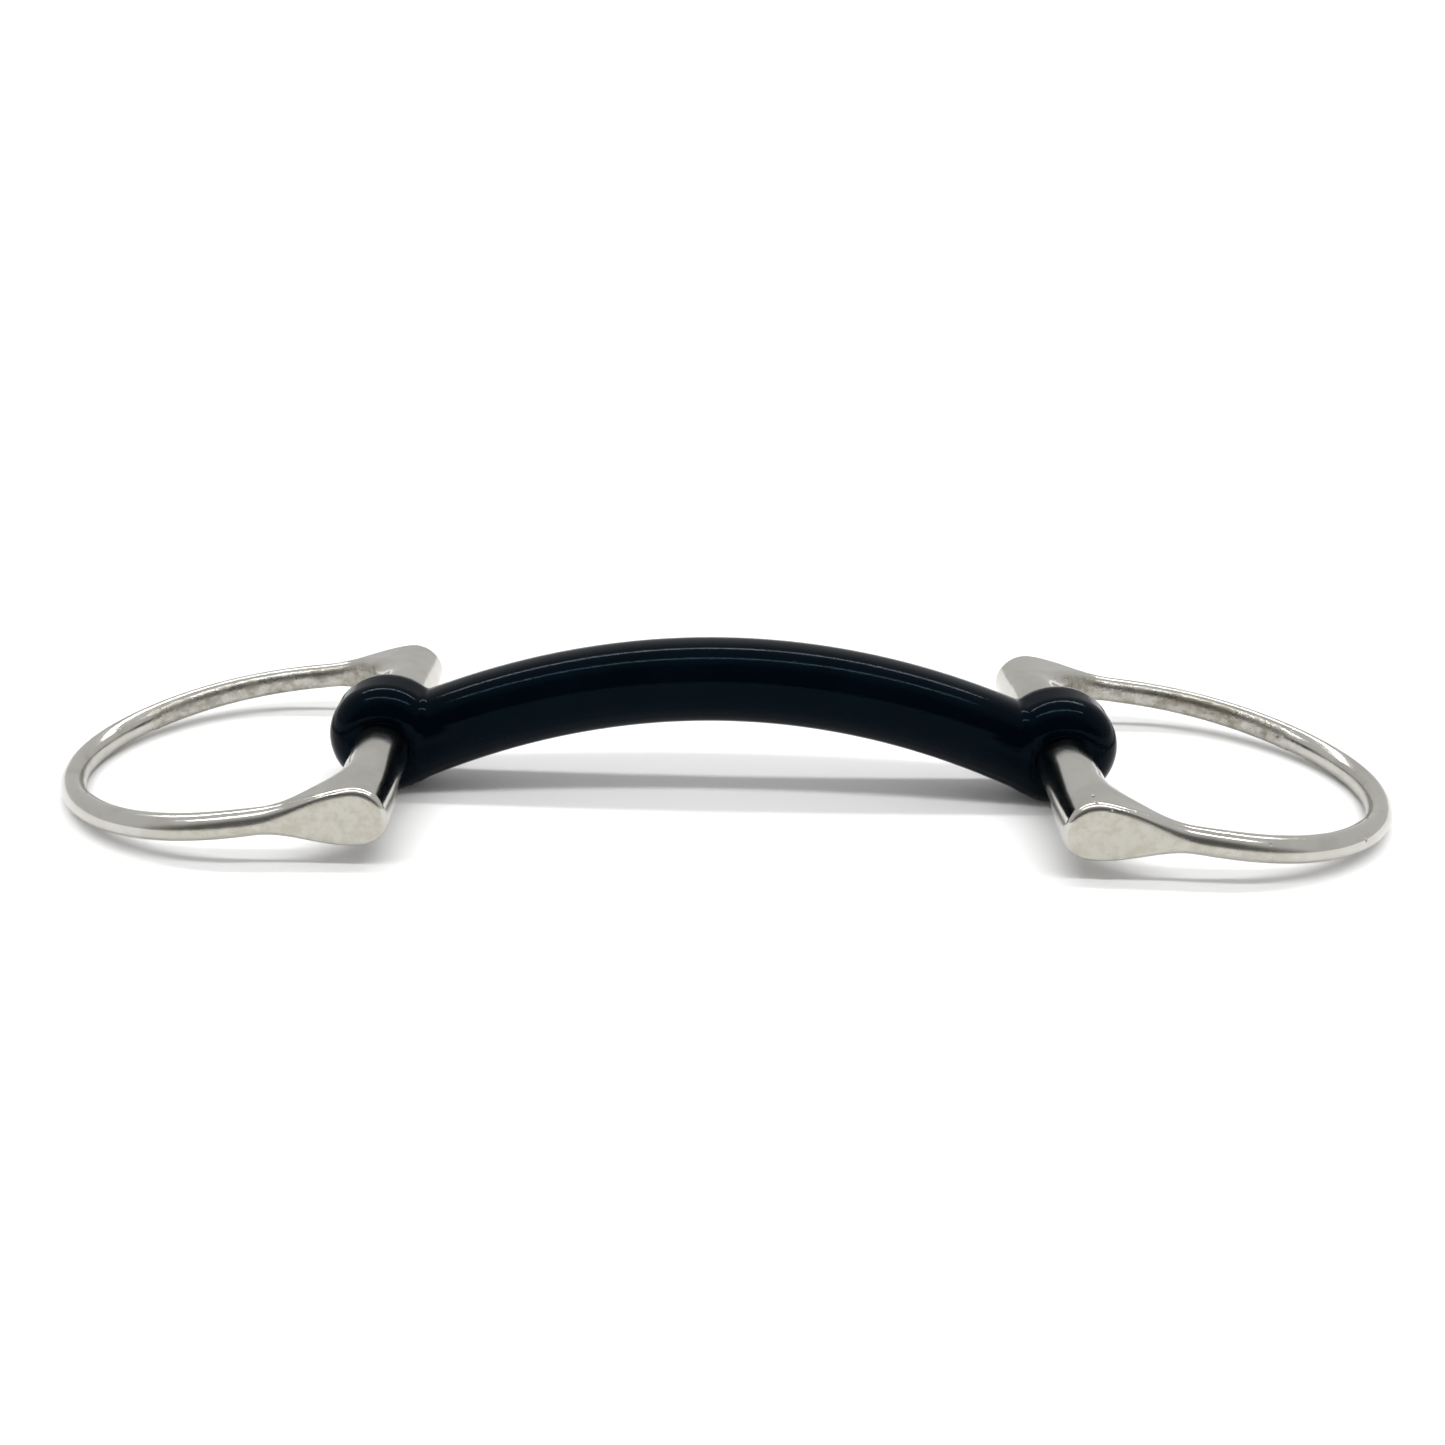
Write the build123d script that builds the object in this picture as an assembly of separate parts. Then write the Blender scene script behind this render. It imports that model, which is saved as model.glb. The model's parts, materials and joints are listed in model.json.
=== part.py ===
"""Eggbutt snaffle bit with a moulded, arched bar mouthpiece.

Frame: X runs along the mouthpiece, Y along the hinge pins, Z is up.
The origin is on the floor under the middle of the mouthpiece. Millimetres.
"""
from build123d import *
from math import asin, cos, degrees, pi, sin
import os

# Overall layout
HINGE_SPACING = 153.0       # between the two hinge axes
KNUCKLE_RADIUS = 13.1       # the knuckles stand on the floor
HINGE_HEIGHT = KNUCKLE_RADIUS
HALF_SPACING = HINGE_SPACING / 2

# Mouthpiece
ARCH_TOP = 28.0             # height of the bar centreline in the middle
ARCH_FOOT = 8.6             # and where it passes under the hinge axis
BAR_HALF_DEPTH = 8.5
BAR_HALF_HEIGHT = 9.1
BAR_SQUARENESS = 2.3        # 2 would be an ellipse
BAR_SETBACK = 2.0           # the bar section starts this far inside the hinge
KNUCKLE_HALF_WIDTH = 8.5
KNUCKLE_RIM = 6.5
CORE_RADIUS = 4.0
CORE_ARCH_REACH = 56.0      # the core leaves the arch here and rises to the hinge

# Hinge
SLEEVE_RADIUS = 4.8
SLEEVE_BORE = 3.3
PIN_RADIUS = 3.25
PIN_BLIND_END = 30.0        # depth of the blind bore in the near boss
THRUST_GAP = 0.3            # between a knuckle face and a barrel face

# Cheek
BARREL_RADIUS = 6.2
BARREL_HALF_LENGTH = 38.4
LOBE_RADIUS = 6.9
LOBE_DROP = 1.1             # the lobe hangs this far below the hinge axis
LOBE_SHIFT = 0.4            # and this far outward
LOBE_DEPTH = 7.0            # thickness of the round end of the lobe
LOBE_RIM = 0.9
ROD_IN_PLANE = 2.8          # half sizes of the oval ring section
ROD_NORMAL = 3.2
RING_REACH = 73.8           # hinge axis to the centreline of the ring end
RING_POLES = [(0, 33.0), (26.2, 39.0), (45.5, 43.0), (RING_REACH, 23.8), (RING_REACH, 0)]
# outward position, inner side, outer side, half height, drop, corner
LOBE_SECTIONS = [
    (1.0, 30.6, 38.40, 6.90, 1.10, 1.2),
    (6.0, 31.1, 38.50, 6.25, 0.90, 1.4),
    (11.0, 31.8, 38.75, 5.10, 0.55, 1.9),
    (16.0, 32.6, 39.10, 3.95, 0.20, 2.4),
    (22.0, 33.7, 39.50, 3.30, 0.05, 2.7),
    (29.0, 34.3, 39.90, 3.20, 0.00, 2.7),
]
WEB_CURVE = [(20.0, 34.3), (11.8, 34.3), (6.1, 29.0), (5.6, 20.5)]
WEB_OUTER_EDGE = 36.0
WEB_NEAR_HALF_HEIGHT = 5.2  # at the barrel
WEB_FAR_HALF_HEIGHT = 2.6   # at the rod
WEB_TAPER = (9.0, 12.0)     # where the web starts and ends its taper

CLEAR = 60.0                # longer than any cut through the cheek

TILT = degrees(asin((HINGE_HEIGHT - ROD_NORMAL) / RING_REACH))


def arch_height(x):
    """Height of the bar centreline, a parabola, at a distance x from the middle."""
    return ARCH_TOP - (ARCH_TOP - ARCH_FOOT) * (x / HALF_SPACING) ** 2


def arch_points(reach):
    """Points on the bar centreline between -reach and +reach."""
    steps = 16
    xs = [reach * (2 * i / steps - 1) for i in range(steps + 1)]
    return [(x, 0, arch_height(x)) for x in xs]


def rounded_power(value):
    """Signed power that turns a circle into the slightly squared bar section."""
    size = abs(value) ** (2 / BAR_SQUARENESS)
    return size if value >= 0 else -size


def bar_section(path):
    """Bar section at the start of the path."""
    points = []
    for i in range(24):
        angle = 2 * pi * i / 24
        depth = BAR_HALF_DEPTH * rounded_power(cos(angle))
        height = BAR_HALF_HEIGHT * rounded_power(sin(angle))
        points.append((depth, height))
    plane = Plane(origin=path @ 0, x_dir=(0, 1, 0), z_dir=path % 0)
    return plane * make_face(Spline(*points, periodic=True))


def along_y(radius, start, end):
    """Cylinder about the Y axis from start to end."""
    middle = Pos(0, (start + end) / 2, 0)
    return middle * Rot(90, 0, 0) * Cylinder(radius, abs(end - start))


def at_hinge(shape, side):
    """Move a shape from the hinge axis at the origin to one end of the bar."""
    return Pos(side * HALF_SPACING, 0, HINGE_HEIGHT) * shape


def make_sleeve(side):
    """Steel sleeve the hinge pin turns in."""
    outer = along_y(SLEEVE_RADIUS, -KNUCKLE_HALF_WIDTH, KNUCKLE_HALF_WIDTH)
    bore = along_y(SLEEVE_BORE, -CLEAR, CLEAR)
    return at_hinge(outer - bore, side)


def make_core():
    """Steel core of the bar, coped to meet both sleeves."""
    left_end = (-HALF_SPACING, 0, HINGE_HEIGHT)
    right_end = (HALF_SPACING, 0, HINGE_HEIGHT)
    path = Spline(left_end, *arch_points(CORE_ARCH_REACH), right_end)
    plane = Plane(origin=path @ 0, z_dir=path % 0)
    core = sweep(plane * Circle(CORE_RADIUS), path=path)
    cope = along_y(SLEEVE_RADIUS, -CLEAR, CLEAR)
    return core - at_hinge(cope, -1) - at_hinge(cope, 1)


def make_cover(core):
    """Moulded cover: the arched bar with a rounded knuckle at each end."""
    path = Spline(*arch_points(HALF_SPACING - BAR_SETBACK))
    cover = sweep(bar_section(path), path=path)
    knuckle = along_y(KNUCKLE_RADIUS, -KNUCKLE_HALF_WIDTH, KNUCKLE_HALF_WIDTH)
    knuckle = fillet(knuckle.edges().filter_by(GeomType.CIRCLE), KNUCKLE_RIM)
    for side in (-1, 1):
        cover += at_hinge(knuckle, side)
    for side in (-1, 1):
        cover -= at_hinge(along_y(SLEEVE_RADIUS, -CLEAR, CLEAR), side)
    return cover - core


def make_barrel():
    """One barrel half, from its gap at the knuckle into the lobe."""
    return along_y(BARREL_RADIUS, KNUCKLE_HALF_WIDTH + THRUST_GAP, BARREL_HALF_LENGTH - LOBE_RIM)


def make_boss():
    """Round end of the lobe with its rounded outer rim."""
    boss = along_y(LOBE_RADIUS, BARREL_HALF_LENGTH - LOBE_DEPTH, BARREL_HALF_LENGTH)
    rim = boss.edges().filter_by(GeomType.CIRCLE).sort_by(Axis.Y)[-1]
    return Pos(LOBE_SHIFT, 0, -LOBE_DROP) * fillet(rim, LOBE_RIM)


def make_lobe():
    """Flat faced lobe that tapers from the barrel end into the ring rod."""
    sections = []
    for out, inner, outer, high, drop, corner in LOBE_SECTIONS:
        origin = (out, (inner + outer) / 2, -drop)
        plane = Plane(origin=origin, x_dir=(0, 1, 0), z_dir=(1, 0, 0))
        sections.append(plane * RectangleRounded(outer - inner, 2 * high, corner))
    return loft(sections)


def web_taper(sign):
    """Upper or lower edge of the web seen along the hinge axis."""
    near = sign * WEB_NEAR_HALF_HEIGHT - LOBE_DROP
    far = sign * WEB_FAR_HALF_HEIGHT
    start, end = WEB_TAPER
    return Bezier((0, near), (start, near), (end, far), (WEB_CURVE[0][0], far))


def make_web():
    """Concave web that blends the inner side of the lobe into the barrel."""
    wall = Bezier(*WEB_CURVE)
    first = WEB_CURVE[0]
    last = WEB_CURVE[-1]
    rest = Polyline(last, (0, last[1]), (0, WEB_OUTER_EDGE), (first[0], WEB_OUTER_EDGE), first)
    plan = extrude(make_face(wall + rest), amount=CLEAR, both=True)
    upper = web_taper(1)
    lower = web_taper(-1)
    outline = upper + Line(upper @ 1, lower @ 1) + lower + Line(lower @ 0, upper @ 0)
    side_view = make_face(Plane.XZ * outline)
    return plan & extrude(side_view, amount=CLEAR, both=True)


def make_ring_rod():
    """Oval rod swept around the open side of the ring."""
    near = [(u, -v) for u, v in RING_POLES]
    far = [(u, v) for u, v in reversed(RING_POLES)]
    path = Bezier(*near) + Bezier(*far)
    plane = Plane(origin=path @ 0, x_dir=(0, 0, 1), z_dir=path % 0)
    return sweep(plane * Ellipse(ROD_NORMAL, ROD_IN_PLANE), path=path)


def make_cheek():
    """Right-hand cheek casting about its own hinge axis, before tilting."""
    half = make_barrel() + make_boss() + make_lobe() + make_web()
    cheek = make_ring_rod() + half + mirror(half, about=Plane.XZ)
    return cheek - along_y(PIN_RADIUS, -PIN_BLIND_END, CLEAR)


def make_pin():
    """Hinge pin, driven in from the far side and finished flush."""
    pin = along_y(PIN_RADIUS, -PIN_BLIND_END, BARREL_HALF_LENGTH)
    return chamfer(pin.edges().filter_by(GeomType.CIRCLE).sort_by(Axis.Y)[0], 0.4)


def build():
    """All pieces by name."""
    core = make_core()
    cheek = Rot(0, TILT, 0) * make_cheek()
    right_cheek = at_hinge(cheek, 1)
    return {
        "mouthpiece_cover": make_cover(core),
        "core_bar": core,
        "left_sleeve": make_sleeve(-1),
        "right_sleeve": make_sleeve(1),
        "left_cheek": mirror(right_cheek, about=Plane.YZ),
        "right_cheek": right_cheek,
        "left_hinge_pin": at_hinge(make_pin(), -1),
        "right_hinge_pin": at_hinge(make_pin(), 1),
    }


os.makedirs("parts", exist_ok=True)
for name, shape in build().items():
    export_step(shape, f"parts/{name}.step")
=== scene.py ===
"""Looks of the eggbutt snaffle bit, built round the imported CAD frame.

The cheeks and the moulded mouthpiece are modelled as smooth signed distance fields in millimetres,
meshed, and placed in the frame in metres. The core, sleeves and pins are the CAD nodes.
"""
import json
import math

import bpy
import numpy as np
from mathutils import Matrix, Vector


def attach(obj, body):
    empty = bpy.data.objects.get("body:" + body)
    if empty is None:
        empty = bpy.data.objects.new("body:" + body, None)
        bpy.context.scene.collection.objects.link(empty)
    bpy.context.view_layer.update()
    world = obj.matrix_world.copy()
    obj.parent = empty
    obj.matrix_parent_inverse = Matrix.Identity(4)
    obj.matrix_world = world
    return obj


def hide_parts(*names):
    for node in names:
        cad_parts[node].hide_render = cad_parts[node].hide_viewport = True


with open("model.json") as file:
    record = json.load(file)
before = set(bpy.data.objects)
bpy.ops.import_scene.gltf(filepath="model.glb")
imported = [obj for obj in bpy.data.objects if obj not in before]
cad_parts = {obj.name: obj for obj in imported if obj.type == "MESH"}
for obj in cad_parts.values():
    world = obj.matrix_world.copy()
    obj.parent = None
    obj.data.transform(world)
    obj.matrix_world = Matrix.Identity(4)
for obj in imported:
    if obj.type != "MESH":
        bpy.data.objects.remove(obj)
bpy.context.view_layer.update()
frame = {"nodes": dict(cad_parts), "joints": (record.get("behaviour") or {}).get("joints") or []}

MM = 0.001

# Driving sizes in millimetres. The hinges come from the frame.
HINGES = {j["name"]: Vector(j["pos_m"]) / MM for j in frame["joints"]}
HINGE_X = HINGES["right_hinge"].x
HINGE_Z = HINGES["right_hinge"].z

# Mouthpiece
ARCH_TOP = 28.0         # height of the bar's centreline in the middle
ARCH_FOOT = 8.6         # and where it passes under the hinge axis
BAR_HALF_DEPTH = 8.5
BAR_HALF_HEIGHT = 9.35
BAR_SQUARENESS = 2.3    # 2 would be an ellipse
BAR_SETBACK = 6.5       # the bar ends this far inside the hinge
BAR_END_RIM = 1.0
KNUCKLE_RADIUS = HINGE_Z
KNUCKLE_HALF_WIDTH = 8.5
KNUCKLE_RIM = 6.5
KNUCKLE_JOIN = 0.8      # fill in the corner between bar and knuckle
SLEEVE_RADIUS = 4.8
SLEEVE_RIM = 0.25

# Cheek: u runs outward from the hinge axis, v along it, w across the ring
BARREL_RADIUS = 6.2
BARREL_START = KNUCKLE_HALF_WIDTH + 0.3
BARREL_END = 38.4
BARREL_RIM = 0.5
PIN_RADIUS = 3.25
PIN_BLIND_END = 30.0
PIN_RIM = 0.15
LOBE_RADIUS = 6.9
LOBE_START = 20.0       # the barrel turns into the lobe over this stretch of v
LOBE_GROWTH = 12.0
LOBE_DROP = 1.1         # the lobe hangs this far below the hinge axis
LOBE_SHIFT = 0.4        # and this far outward
LOBE_BEVEL = 1.0
LOBE_RIM = 0.4
LOBE_TAPER = 22.0       # the lobe is as thin as the rod at this u
ROD_IN_PLANE = 2.8
ROD_NORMAL = 3.2
ROD_CORNER = 2.8
FILLET_RADIUS = 13.0    # of the web between barrel and rod
RING_REACH = 73.8
RING_POLES = np.array([(0, 33.0), (26.2, 39.0), (45.5, 43.0), (RING_REACH, 23.8), (RING_REACH, 0)])
TILT = math.asin((HINGE_Z - ROD_NORMAL) / RING_REACH)

# Where the cheek's finish changes
CAST_TURN = (0.45, 0.3)     # angle round the fillet where the cast finish starts, and its fade
CAST_END = (58.0, 8.0)      # u where it wears off, and its fade
SATIN_END = (30.0, 25.0)    # u where the satin lobe face ends, and its fade

# Studio, in metres
ROOM = 5.0
WALL_SIDES = 48
LAMP_DISTANCE = 20.0

# Side of a cell of the meshing grid
CELL = 0.45


# ---------------------------------------------------------------- distance fields

def smoothstep(x):
    """0 below 0, 1 above 1, smooth between."""
    x = np.clip(x, 0, 1)
    return x * x * (3 - 2 * x)


def mix(a, b, share):
    """a where share is 0, b where it is 1."""
    return a + (b - a) * share


def rounded_cut(a, b, radius):
    """Field of what is inside both a and b, with the edge between them rounded."""
    a = a + radius
    b = b + radius
    return np.minimum(np.maximum(a, b), 0) + np.hypot(np.maximum(a, 0), np.maximum(b, 0)) - radius


def rounded_join(a, b, radius):
    """Field of what is inside a or b, with the corner between them filled."""
    return -rounded_cut(-a, -b, radius)


def bezier_polynomials(poles):
    """Polynomial coefficients of a quartic Bezier curve, one column for each coordinate."""
    p0, p1, p2, p3, p4 = poles
    return np.array([
        p0 - 4 * p1 + 6 * p2 - 4 * p3 + p4,
        -4 * p0 + 12 * p1 - 12 * p2 + 4 * p3,
        6 * p0 - 12 * p1 + 6 * p2,
        -4 * p0 + 4 * p1,
        p0,
    ])


RING = bezier_polynomials(RING_POLES)
RING_SLOPE = np.array([np.polyder(c) for c in RING.T]).T
RING_BEND = np.array([np.polyder(c) for c in RING_SLOPE.T]).T
RING_STEPS = np.linspace(0, 1, 41)
RING_POINTS = np.stack([np.polyval(c, RING_STEPS) for c in RING.T], axis=1)


def widest_point():
    """Place on the ring's centreline where it is widest along the hinge."""
    steps = np.linspace(0.1, 0.5, 4001)
    best = steps[np.argmax(np.polyval(RING[:, 1], steps))]
    return np.polyval(RING[:, 0], best), np.polyval(RING[:, 1], best)


WIDE_U, WIDE_V = widest_point()
FILLET_U = BARREL_RADIUS + FILLET_RADIUS
FILLET_V = WIDE_V - ROD_IN_PLANE - FILLET_RADIUS


def ring_offset(u, v):
    """Signed distance in the ring's plane from its centreline, positive outside the ring."""
    u, v = np.broadcast_arrays(u, v)
    shape = u.shape
    point = np.stack([u.ravel(), v.ravel()], axis=1)
    gap = ((point[:, None, :] - RING_POINTS[None]) ** 2).sum(axis=2)
    t = RING_STEPS[gap.argmin(axis=1)]
    for _ in range(4):
        away = np.stack([np.polyval(c, t) for c in RING.T], axis=1) - point
        slope = np.stack([np.polyval(c, t) for c in RING_SLOPE.T], axis=1)
        bend = np.stack([np.polyval(c, t) for c in RING_BEND.T], axis=1)
        turn = (slope * slope).sum(axis=1) + (away * bend).sum(axis=1)
        t = np.clip(t - (away * slope).sum(axis=1) / np.maximum(turn, 1.0), 0, 1)
    away = point - np.stack([np.polyval(c, t) for c in RING.T], axis=1)
    slope = np.stack([np.polyval(c, t) for c in RING_SLOPE.T], axis=1)
    side = slope[:, 0] * away[:, 1] - slope[:, 1] * away[:, 0]
    return (np.hypot(*away.T) * np.where(side < 0, -1, 1)).reshape(shape)


def fillet_wall(u, v):
    """Distance past the inner wall that runs from the barrel round the fillet to the rod."""
    return FILLET_RADIUS - np.hypot(np.maximum(FILLET_U - u, 0), np.maximum(v - FILLET_V, 0))


def fillet_turn(u, v):
    """Angle round the fillet, 0 on the barrel and a right angle on the rod."""
    return np.arctan2(np.maximum(v - FILLET_V, 0), np.maximum(FILLET_U - u, 1e-6))


def cheek_field(u, v, w):
    """Cheek casting about its hinge axis."""
    near = np.abs(v)
    radial = np.hypot(u, w)
    lobe = u < WIDE_U
    offset = ring_offset(u, near)
    face = BARREL_END + (WIDE_V + ROD_IN_PLANE - BARREL_END) * smoothstep(u / WIDE_U)
    outer = np.where(lobe, near - face, offset - ROD_IN_PLANE)
    inner = np.where(lobe, fillet_wall(u, near), -offset - ROD_IN_PLANE)

    to_lobe = smoothstep((near - LOBE_START) / LOBE_GROWTH)
    root = mix(BARREL_RADIUS, LOBE_RADIUS, to_lobe)
    taper = smoothstep(u / LOBE_TAPER)
    height = mix(root, ROD_NORMAL, taper)
    along = u - LOBE_SHIFT * to_lobe
    across = w + LOBE_DROP * to_lobe * (1 - taper)
    sides = np.where(along < 0, np.hypot(along, across), np.abs(across)) - height

    corner = mix(root, ROD_CORNER, smoothstep(fillet_turn(u, near)))
    corner = np.minimum(corner, height)
    body = rounded_cut(inner, sides, corner)
    bevel = (outer + sides + LOBE_BEVEL * (1 - taper)) / math.sqrt(2)
    rim = mix(LOBE_RIM, ROD_CORNER, taper)
    body = rounded_cut(body, bevel, rim)
    body = rounded_cut(body, outer, rim)
    past_barrel_start = np.minimum(BARREL_START - near, FILLET_U - u)
    body = rounded_cut(body, past_barrel_start, BARREL_RIM)
    outside_bore = np.minimum(PIN_RADIUS - radial, v + PIN_BLIND_END)
    return rounded_cut(body, outside_bore, PIN_RIM)


def arch_height(x):
    """Height of the bar's centreline, a parabola."""
    return ARCH_TOP - (ARCH_TOP - ARCH_FOOT) * (x / HINGE_X) ** 2


def mouthpiece_field(x, y, z):
    """Moulded bar with a rounded knuckle round each hinge."""
    x = np.abs(x)
    step = 0.05
    slope = (arch_height(x + step) - arch_height(x - step)) / (2 * step)
    rise = (z - arch_height(x)) / np.hypot(1, slope)
    power = (np.abs(y) / BAR_HALF_DEPTH) ** BAR_SQUARENESS
    power = power + (np.abs(rise) / BAR_HALF_HEIGHT) ** BAR_SQUARENESS
    bar = (power ** (1 / BAR_SQUARENESS) - 1) * BAR_HALF_HEIGHT
    bar = rounded_cut(bar, x - (HINGE_X - BAR_SETBACK), BAR_END_RIM)
    radial = np.hypot(x - HINGE_X, z - HINGE_Z)
    knuckle = rounded_cut(radial - KNUCKLE_RADIUS, np.abs(y) - KNUCKLE_HALF_WIDTH, KNUCKLE_RIM)
    body = rounded_join(bar, knuckle, KNUCKLE_JOIN)
    return rounded_cut(body, SLEEVE_RADIUS - radial, SLEEVE_RIM)


# ---------------------------------------------------------------- meshing

def gradient(field, points):
    """Slope of the field at each point."""
    step = 0.02
    parts = []
    for axis in np.eye(3) * step:
        parts.append((field(*(points + axis).T) - field(*(points - axis).T)) / (2 * step))
    return np.stack(parts, axis=1)


def onto_surface(field, points, rounds):
    """Points moved to where the field is zero."""
    for _ in range(rounds):
        slope = gradient(field, points)
        size = np.maximum((slope * slope).sum(axis=1), 0.25)
        step = field(*points.T) / size
        points = points - slope * np.clip(step, -CELL, CELL)[:, None]
    return points


def relaxed(points, quads):
    """Each point moved halfway to the mean of its neighbours."""
    count = len(points)
    total = np.zeros_like(points)
    links = np.zeros(count)
    for a, b in ((0, 1), (1, 2), (2, 3), (3, 0)):
        for start, end in ((a, b), (b, a)):
            links += np.bincount(quads[:, start], minlength=count)
            for axis in range(3):
                weights = points[quads[:, end], axis]
                total[:, axis] += np.bincount(quads[:, start], weights, minlength=count)
    return (points + total / links[:, None]) / 2


def surface(field, low, high):
    """Points and outward quads of the field's zero surface, with one point in each grid cell it crosses."""
    axes = [np.arange(a - 2 * CELL, b + 3 * CELL, CELL) for a, b in zip(low, high)]
    inside = field(*np.meshgrid(*axes, indexing="ij", sparse=True)) < 0
    n = np.array(inside.shape) - 1
    corners = [
        inside[i:i + n[0], j:j + n[1], k:k + n[2]]
        for i in (0, 1) for j in (0, 1) for k in (0, 1)
    ]
    count = np.sum(corners, axis=0)
    crossed = (count > 0) & (count < 8)
    number = np.full(crossed.shape, -1)
    number[crossed] = np.arange(crossed.sum())
    points = (np.argwhere(crossed) + 0.5) * CELL + [a[0] for a in axes]

    quads = []
    for axis in range(3):
        first = np.take(inside, range(n[axis]), axis=axis)
        second = np.take(inside, range(1, n[axis] + 1), axis=axis)
        edge = np.argwhere(first != second)
        back_a = np.eye(3, dtype=int)[(axis + 1) % 3]
        back_b = np.eye(3, dtype=int)[(axis + 2) % 3]
        ring = [edge, edge - back_a, edge - back_a - back_b, edge - back_b]
        cells = np.stack([number[tuple(cell.T)] for cell in ring], axis=1)
        outward = first[tuple(edge.T)]
        quads.append(np.where(outward[:, None], cells, cells[:, ::-1]))
    quads = np.concatenate(quads)

    points = onto_surface(field, points, 3)
    for _ in range(4):
        points = onto_surface(field, relaxed(points, quads), 1)
    return onto_surface(field, points, 2), quads


def mesh_object(name, points, quads, normals, material, **attributes):
    """Smooth object from points in millimetres, with exact normals and named point attributes."""
    mesh = bpy.data.meshes.new(name)
    mesh.from_pydata((points * MM).tolist(), [], quads.tolist())
    mesh.shade_smooth()
    mesh.normals_split_custom_set_from_vertices(normals.tolist())
    for key, values in attributes.items():
        mesh.attributes.new(key, "FLOAT", "POINT").data.foreach_set("value", values.astype(np.float32))
    mesh.materials.append(material)
    piece = bpy.data.objects.new(name, mesh)
    bpy.context.collection.objects.link(piece)
    return piece


def outward_normals(field, points):
    """Unit normals of the field at the points."""
    slope = gradient(field, points)
    return slope / np.linalg.norm(slope, axis=1)[:, None]


# ---------------------------------------------------------------- materials

def new_material(name):
    """Material, its node tree and its main shader."""
    material = bpy.data.materials.new(name)
    material.use_nodes = True
    tree = material.node_tree
    return material, tree, tree.nodes["Principled BSDF"]


def add(tree, kind, sockets=None, **settings):
    """Node with its settings, and with its sockets set or linked."""
    node = tree.nodes.new(kind)
    for key, value in settings.items():
        setattr(node, key, value)
    for key, value in (sockets or {}).items():
        if isinstance(value, bpy.types.NodeSocket):
            tree.links.new(value, node.inputs[key])
        else:
            node.inputs[key].default_value = value
    return node


def place(tree, stretch=(1, 1, 1)):
    """Object coordinates in metres, stretched."""
    where = add(tree, "ShaderNodeTexCoord").outputs["Object"]
    return add(tree, "ShaderNodeMapping", {"Vector": where, "Scale": stretch}).outputs["Vector"]


def noise(tree, scale, detail=3.0, roughness=0.5, stretch=(1, 1, 1)):
    """Noise between 0 and 1."""
    sockets = {"Vector": place(tree, stretch), "Scale": scale, "Detail": detail, "Roughness": roughness}
    return add(tree, "ShaderNodeTexNoise", sockets).outputs["Fac"]


def ramp(tree, value, start, end, low=0.0, high=1.0):
    """Value taken from the range start..end to the range low..high, and held outside it."""
    sockets = {"Value": value, "From Min": start, "From Max": end, "To Min": low, "To Max": high}
    return add(tree, "ShaderNodeMapRange", sockets, interpolation_type="SMOOTHSTEP").outputs["Result"]


def times(tree, a, b):
    """Product of two values."""
    return add(tree, "ShaderNodeMath", {0: a, 1: b}, operation="MULTIPLY").outputs["Value"]


def plus(tree, a, b):
    """Sum of two values."""
    return add(tree, "ShaderNodeMath", {0: a, 1: b}, operation="ADD").outputs["Value"]


def blend_colour(tree, share, a, b):
    """Colour a where share is 0, colour b where it is 1."""
    sockets = {"Factor": share, 6: a, 7: b}
    return add(tree, "ShaderNodeMix", sockets, data_type="RGBA").outputs[2]


def bump(tree, height, distance, strength=1.0, under=None):
    """Normal disturbed by a height in metres, on top of another one."""
    sockets = {"Height": height, "Distance": distance, "Strength": strength}
    if under:
        sockets["Normal"] = under
    return add(tree, "ShaderNodeBump", sockets).outputs["Normal"]


def pits(tree, scale, size, share):
    """1 in small round pits, of which only a share of the cells has one."""
    sockets = {"Vector": place(tree), "Scale": scale, "Randomness": 1.0}
    cells = add(tree, "ShaderNodeTexVoronoi", sockets)
    near = ramp(tree, cells.outputs["Distance"], size * 0.4, size, 1.0, 0.0)
    red = add(tree, "ShaderNodeSeparateColor", {"Color": cells.outputs["Color"]}).outputs["Red"]
    chosen = add(tree, "ShaderNodeMath", {0: red, 1: share}, operation="LESS_THAN").outputs["Value"]
    return times(tree, near, chosen)


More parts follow.
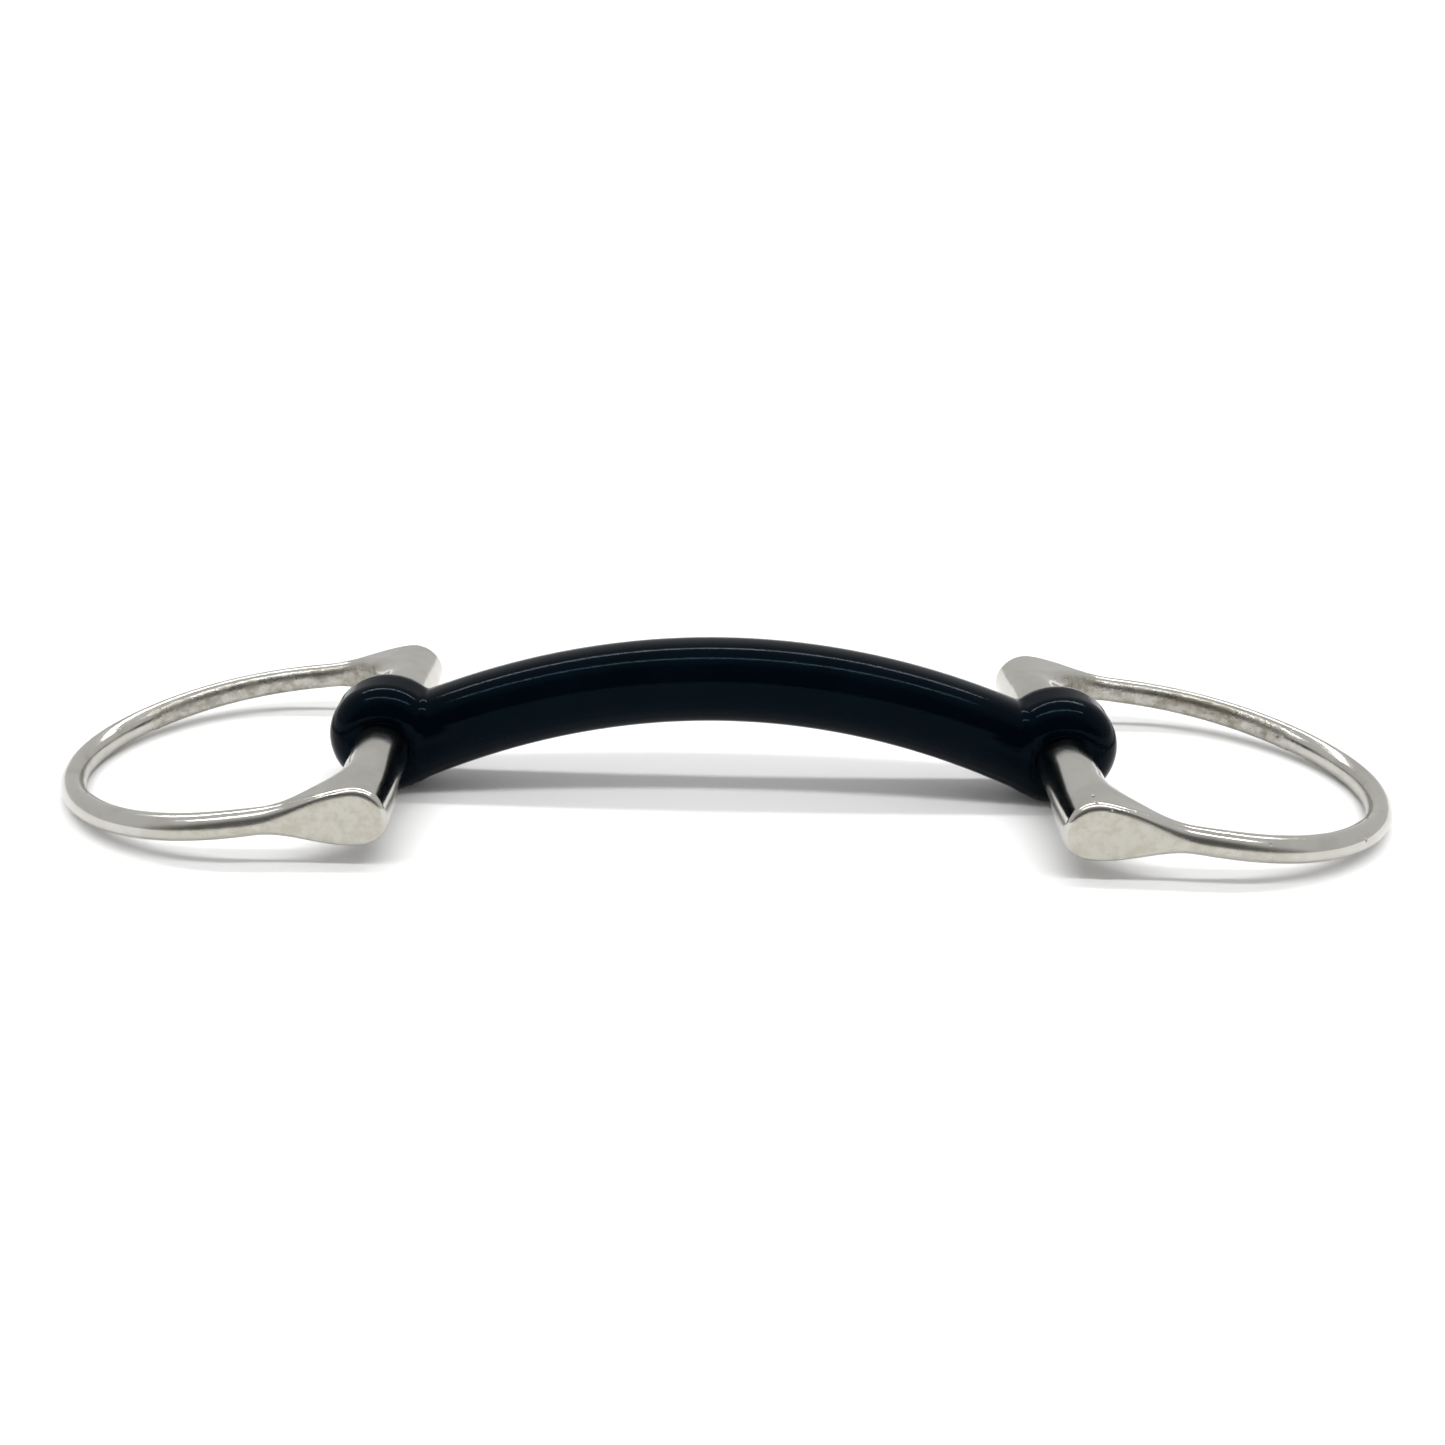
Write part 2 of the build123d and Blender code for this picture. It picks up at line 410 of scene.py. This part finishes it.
def polished_steel():
    """Polished stainless casting, duller and stained where the wheel didn't reach."""
    material, tree, shader = new_material("polished_steel")
    cast = add(tree, "ShaderNodeAttribute", attribute_name="cast").outputs["Fac"]
    satin = add(tree, "ShaderNodeAttribute", attribute_name="satin").outputs["Fac"]
    blotch = ramp(tree, noise(tree, 140, 4), 0.42, 0.68)
    mottle = ramp(tree, noise(tree, 420, 5, 0.6), 0.35, 0.7)
    stain = times(tree, cast, plus(tree, times(tree, blotch, 0.4), ramp(tree, mottle, 0, 1, 0.25, 0.6)))
    dots = times(tree, pits(tree, 330, 0.17, 0.05), ramp(tree, satin, 0, 1, 1.0, 0.0))

    base = blend_colour(tree, blotch, (0.52, 0.51, 0.475, 1), (0.48, 0.465, 0.425, 1))
    dull = times(tree, satin, ramp(tree, mottle, 0, 1, 0.4, 1.0))
    base = blend_colour(tree, dull, base, (0.41, 0.39, 0.33, 1))
    base = blend_colour(tree, stain, base, (0.22, 0.20, 0.16, 1))
    base = blend_colour(tree, times(tree, dots, 0.6), base, (0.10, 0.09, 0.08, 1))
    tree.links.new(base, shader.inputs["Base Color"])
    shader.inputs["Metallic"].default_value = 1.0

    rough = ramp(tree, noise(tree, 90, 3), 0.3, 0.7, 0.10, 0.17)
    rough = plus(tree, rough, times(tree, satin, 0.16))
    rough = plus(tree, rough, times(tree, cast, ramp(tree, mottle, 0, 1, 0.12, 0.34)))
    tree.links.new(rough, shader.inputs["Roughness"])

    waves = bump(tree, noise(tree, 120, 2), 0.0003, 0.25)
    grain = bump(tree, times(tree, cast, noise(tree, 1500, 4, 0.65)), 0.00025, 0.5, waves)
    holes = bump(tree, times(tree, dots, -1.0), 0.0003, 0.6, grain)
    tree.links.new(holes, shader.inputs["Normal"])
    return material


def turned_steel():
    """Plain steel of the core, sleeves and pins, with fine marks round it."""
    material, tree, shader = new_material("turned_steel")
    lines = noise(tree, 700, 3, 0.5, (1, 14, 1))
    base = blend_colour(tree, lines, (0.62, 0.61, 0.59, 1), (0.70, 0.69, 0.67, 1))
    tree.links.new(base, shader.inputs["Base Color"])
    shader.inputs["Metallic"].default_value = 1.0
    tree.links.new(ramp(tree, lines, 0.3, 0.7, 0.18, 0.30), shader.inputs["Roughness"])
    tree.links.new(bump(tree, lines, 0.00005, 0.4), shader.inputs["Normal"])
    return material


def black_moulding():
    """Hard black moulded rubber, glossy, with the faint unevenness of its mould."""
    material, tree, shader = new_material("black_moulding")
    cloud = ramp(tree, noise(tree, 60, 3), 0.3, 0.7)
    base = blend_colour(tree, cloud, (0.0002, 0.0012, 0.0026, 1), (0.0006, 0.0020, 0.0040, 1))
    tree.links.new(base, shader.inputs["Base Color"])
    tree.links.new(ramp(tree, noise(tree, 200, 4), 0.3, 0.7, 0.08, 0.12), shader.inputs["Roughness"])
    shader.inputs["Specular IOR Level"].default_value = 0.06
    shader.inputs["Specular Tint"].default_value = (0.4, 0.72, 1.0, 1)
    flow = bump(tree, noise(tree, 90, 2, 0.5, (0.5, 1, 1)), 0.0003, 0.12)
    skin = bump(tree, noise(tree, 1400, 3, 0.6), 0.00006, 0.25, flow)
    marks = bump(tree, pits(tree, 260, 0.14, 0.10), 0.0001, 0.4, skin)
    tree.links.new(marks, shader.inputs["Normal"])
    return material


def pale_floor():
    """Matt white floor."""
    material, tree, shader = new_material("pale_floor")
    tone = blend_colour(tree, noise(tree, 6, 2), (0.90, 0.90, 0.90, 1), (0.92, 0.92, 0.92, 1))
    tree.links.new(tone, shader.inputs["Base Color"])
    shader.inputs["Roughness"].default_value = 0.9
    shader.inputs["Specular IOR Level"].default_value = 0.0
    return material


# ---------------------------------------------------------------- pieces

def cheek_frame(side):
    """Takes cheek coordinates (u, v, w) to millimetres in the frame."""
    tilt = Matrix.Rotation(TILT, 4, "Y")
    flip = Matrix.Scale(-1, 4, (1, 0, 0)) if side < 0 else Matrix.Identity(4)
    return flip @ Matrix.Translation((HINGE_X, 0, HINGE_Z)) @ tilt


def outward_share(points, normals):
    """How far each normal points away from the ring's centre, in the ring's plane."""
    step = 0.05
    u, v, _ = points.T
    near = np.abs(v)
    along_u = (ring_offset(u + step, near) - ring_offset(u - step, near)) / (2 * step)
    along_v = (ring_offset(u, near + step) - ring_offset(u, near - step)) / (2 * step)
    return normals[:, 0] * along_u + normals[:, 1] * np.sign(v) * along_v


def fade(value, stretch):
    """0 before the start of a stretch given as its start and length, and 1 after its end."""
    start, length = stretch
    return smoothstep((value - start) / length)


def cast_share(points, normals):
    """How far each point of the cheek keeps its cast finish, inside the ring and the webs."""
    u, v, _ = points.T
    turn = fillet_turn(u, np.abs(v))
    toward_fillet = normals[:, 0] * np.cos(turn) - normals[:, 1] * np.sign(v) * np.sin(turn)
    facing_in = np.where(u < WIDE_U, toward_fillet, -outward_share(points, normals))
    along_ring = np.where(u < WIDE_U, fade(turn, CAST_TURN), 1 - 0.8 * fade(u, CAST_END))
    return fade(facing_in, (0.5, 0.3)) * along_ring


def satin_share(points, normals):
    """How far each point of the cheek lies on a satin lobe face."""
    u, v, _ = points.T
    facing_out = normals[:, 1] * np.sign(v)
    return fade(facing_out, (0.8, 0.15)) * (1 - fade(u, SATIN_END))


def make_cheeks(material):
    """Both cheek castings from one mesh, mirrored for the left side."""
    wide = WIDE_V + ROD_IN_PLANE
    low = (-LOBE_RADIUS, -wide, -LOBE_RADIUS - LOBE_DROP)
    high = (RING_REACH + ROD_IN_PLANE, wide, LOBE_RADIUS)
    points, quads = surface(cheek_field, low, high)
    normals = outward_normals(cheek_field, points)
    cast = cast_share(points, normals)
    satin = satin_share(points, normals)
    for side, name in ((-1, "left_cheek"), (1, "right_cheek")):
        place_in_frame = np.array(cheek_frame(side))
        placed = points @ place_in_frame[:3, :3].T + place_in_frame[:3, 3]
        turned = normals @ place_in_frame[:3, :3].T
        faces = quads if side > 0 else quads[:, ::-1]
        piece = mesh_object(name + "_casting", placed, faces, turned, material, cast=cast, satin=satin)
        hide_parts(name)
        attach(piece, name)


def make_mouthpiece(material):
    """Moulded bar with its two knuckles."""
    reach = HINGE_X + KNUCKLE_RADIUS
    top = ARCH_TOP + BAR_HALF_HEIGHT
    depth = max(BAR_HALF_DEPTH, KNUCKLE_HALF_WIDTH)
    points, quads = surface(mouthpiece_field, (-reach, -depth, 0), (reach, depth, top))
    normals = outward_normals(mouthpiece_field, points)
    piece = mesh_object("mouthpiece_moulding", points, quads, normals, material)
    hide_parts("mouthpiece_cover")
    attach(piece, "mouthpiece")


def finish_cad_nodes(material):
    """Gives the carried-over core, sleeves and pins their finish."""
    for name in ("core_bar", "left_sleeve", "right_sleeve", "left_hinge_pin", "right_hinge_pin"):
        node = frame["nodes"][name]
        node.data.materials.clear()
        node.data.materials.append(material)


# ---------------------------------------------------------------- studio

def make_floor():
    """Large plain floor under the part."""
    corners = [(x * ROOM, y * ROOM, 0) for x, y in ((-1, -1), (1, -1), (1, 1), (-1, 1))]
    mesh = bpy.data.meshes.new("floor")
    mesh.from_pydata(corners, [], [(0, 1, 2, 3)])
    mesh.materials.append(pale_floor())
    floor = bpy.data.objects.new("floor", mesh)
    bpy.context.collection.objects.link(floor)


def make_backdrop():
    """White wall round the floor that only the camera sees."""
    turns = [2 * math.pi * i / WALL_SIDES for i in range(WALL_SIDES)]
    ring = [(ROOM * math.cos(a), ROOM * math.sin(a)) for a in turns]
    points = [(x, y, z) for z in (-0.5, 6) for x, y in ring]
    after = [(i + 1) % WALL_SIDES for i in range(WALL_SIDES)]
    faces = [(i, j, WALL_SIDES + j, WALL_SIDES + i) for i, j in enumerate(after)]
    mesh = bpy.data.meshes.new("backdrop")
    mesh.from_pydata(points, [], faces)
    material, tree, shader = new_material("white_wall")
    shader.inputs["Base Color"].default_value = (0, 0, 0, 1)
    shader.inputs["Emission Color"].default_value = (1, 1, 1, 1)
    shader.inputs["Emission Strength"].default_value = 1.1
    mesh.materials.append(material)
    wall = bpy.data.objects.new("backdrop", mesh)
    wall.visible_diffuse = False
    wall.visible_glossy = False
    wall.visible_shadow = False
    bpy.context.collection.objects.link(wall)


def make_strip(name, lean, width, radiance, glossy=True, diffuse=True):
    """Long lamp far above the part, along X, leaning to the front. Lean and width are in degrees."""
    light = bpy.data.lights.new(name, "AREA")
    light.shape = "RECTANGLE"
    light.size = 1.5 * LAMP_DISTANCE
    light.size_y = math.radians(width) * LAMP_DISTANCE
    light.energy = radiance * math.pi * light.size * light.size_y
    lamp = bpy.data.objects.new(name, light)
    lean = math.radians(lean)
    lamp.location = (0, -LAMP_DISTANCE * math.sin(lean), LAMP_DISTANCE * math.cos(lean))
    lamp.rotation_euler = (lean, 0, 0)
    lamp.visible_glossy = glossy
    lamp.visible_diffuse = diffuse
    bpy.context.collection.objects.link(lamp)


def make_surroundings():
    """Soft grey light from all round, darker in front."""
    world = bpy.data.worlds.new("studio")
    bpy.context.scene.world = world
    world.use_nodes = True
    tree = world.node_tree
    background = tree.nodes["Background"]
    background.inputs["Color"].default_value = (1, 1, 1, 1)
    where = add(tree, "ShaderNodeTexCoord").outputs["Generated"]
    parts = add(tree, "ShaderNodeSeparateXYZ", {"Vector": where})
    front = ramp(tree, parts.outputs["Y"], -0.75, -0.35, 0.15, 0.75)
    tree.links.new(front, background.inputs["Strength"])


def make_camera():
    """Camera at the viewing angle of the catalogue picture."""
    yaw, pitch, roll = 0.022, -0.462, 0.009
    forward = Vector((-math.sin(yaw) * math.cos(pitch), math.cos(yaw) * math.cos(pitch), math.sin(pitch)))
    right = forward.cross(Vector((0, 0, 1))).normalized()
    up = right.cross(forward)
    axes = Matrix((right, up, -forward)).transposed() @ Matrix.Rotation(roll, 3, "Z")
    data = bpy.data.cameras.new("camera")
    data.sensor_width = 36
    data.lens = 36 * 1.008
    data.shift_x = 0.05
    data.clip_start = 0.01
    camera = bpy.data.objects.new("camera", data)
    camera.matrix_world = Matrix.Translation((-0.0097, -0.2983, 0.1653)) @ axes.to_4x4()
    bpy.context.collection.objects.link(camera)
    bpy.context.scene.camera = camera


make_cheeks(polished_steel())
make_mouthpiece(black_moulding())
finish_cad_nodes(turned_steel())
make_floor()
make_backdrop()
# The two lamps throw the shadows, and the two gleams show only in reflections.
make_strip("front_lamp", 17.5, 4.5, 15, glossy=False)
make_strip("rear_lamp", -5.8, 4.5, 15, glossy=False)
make_strip("front_gleam", 14.0, 2.5, 22, diffuse=False)
make_strip("rear_gleam", -30.0, 2.5, 30, diffuse=False)
make_surroundings()
make_camera()
bpy.context.scene.view_settings.view_transform = "Standard"
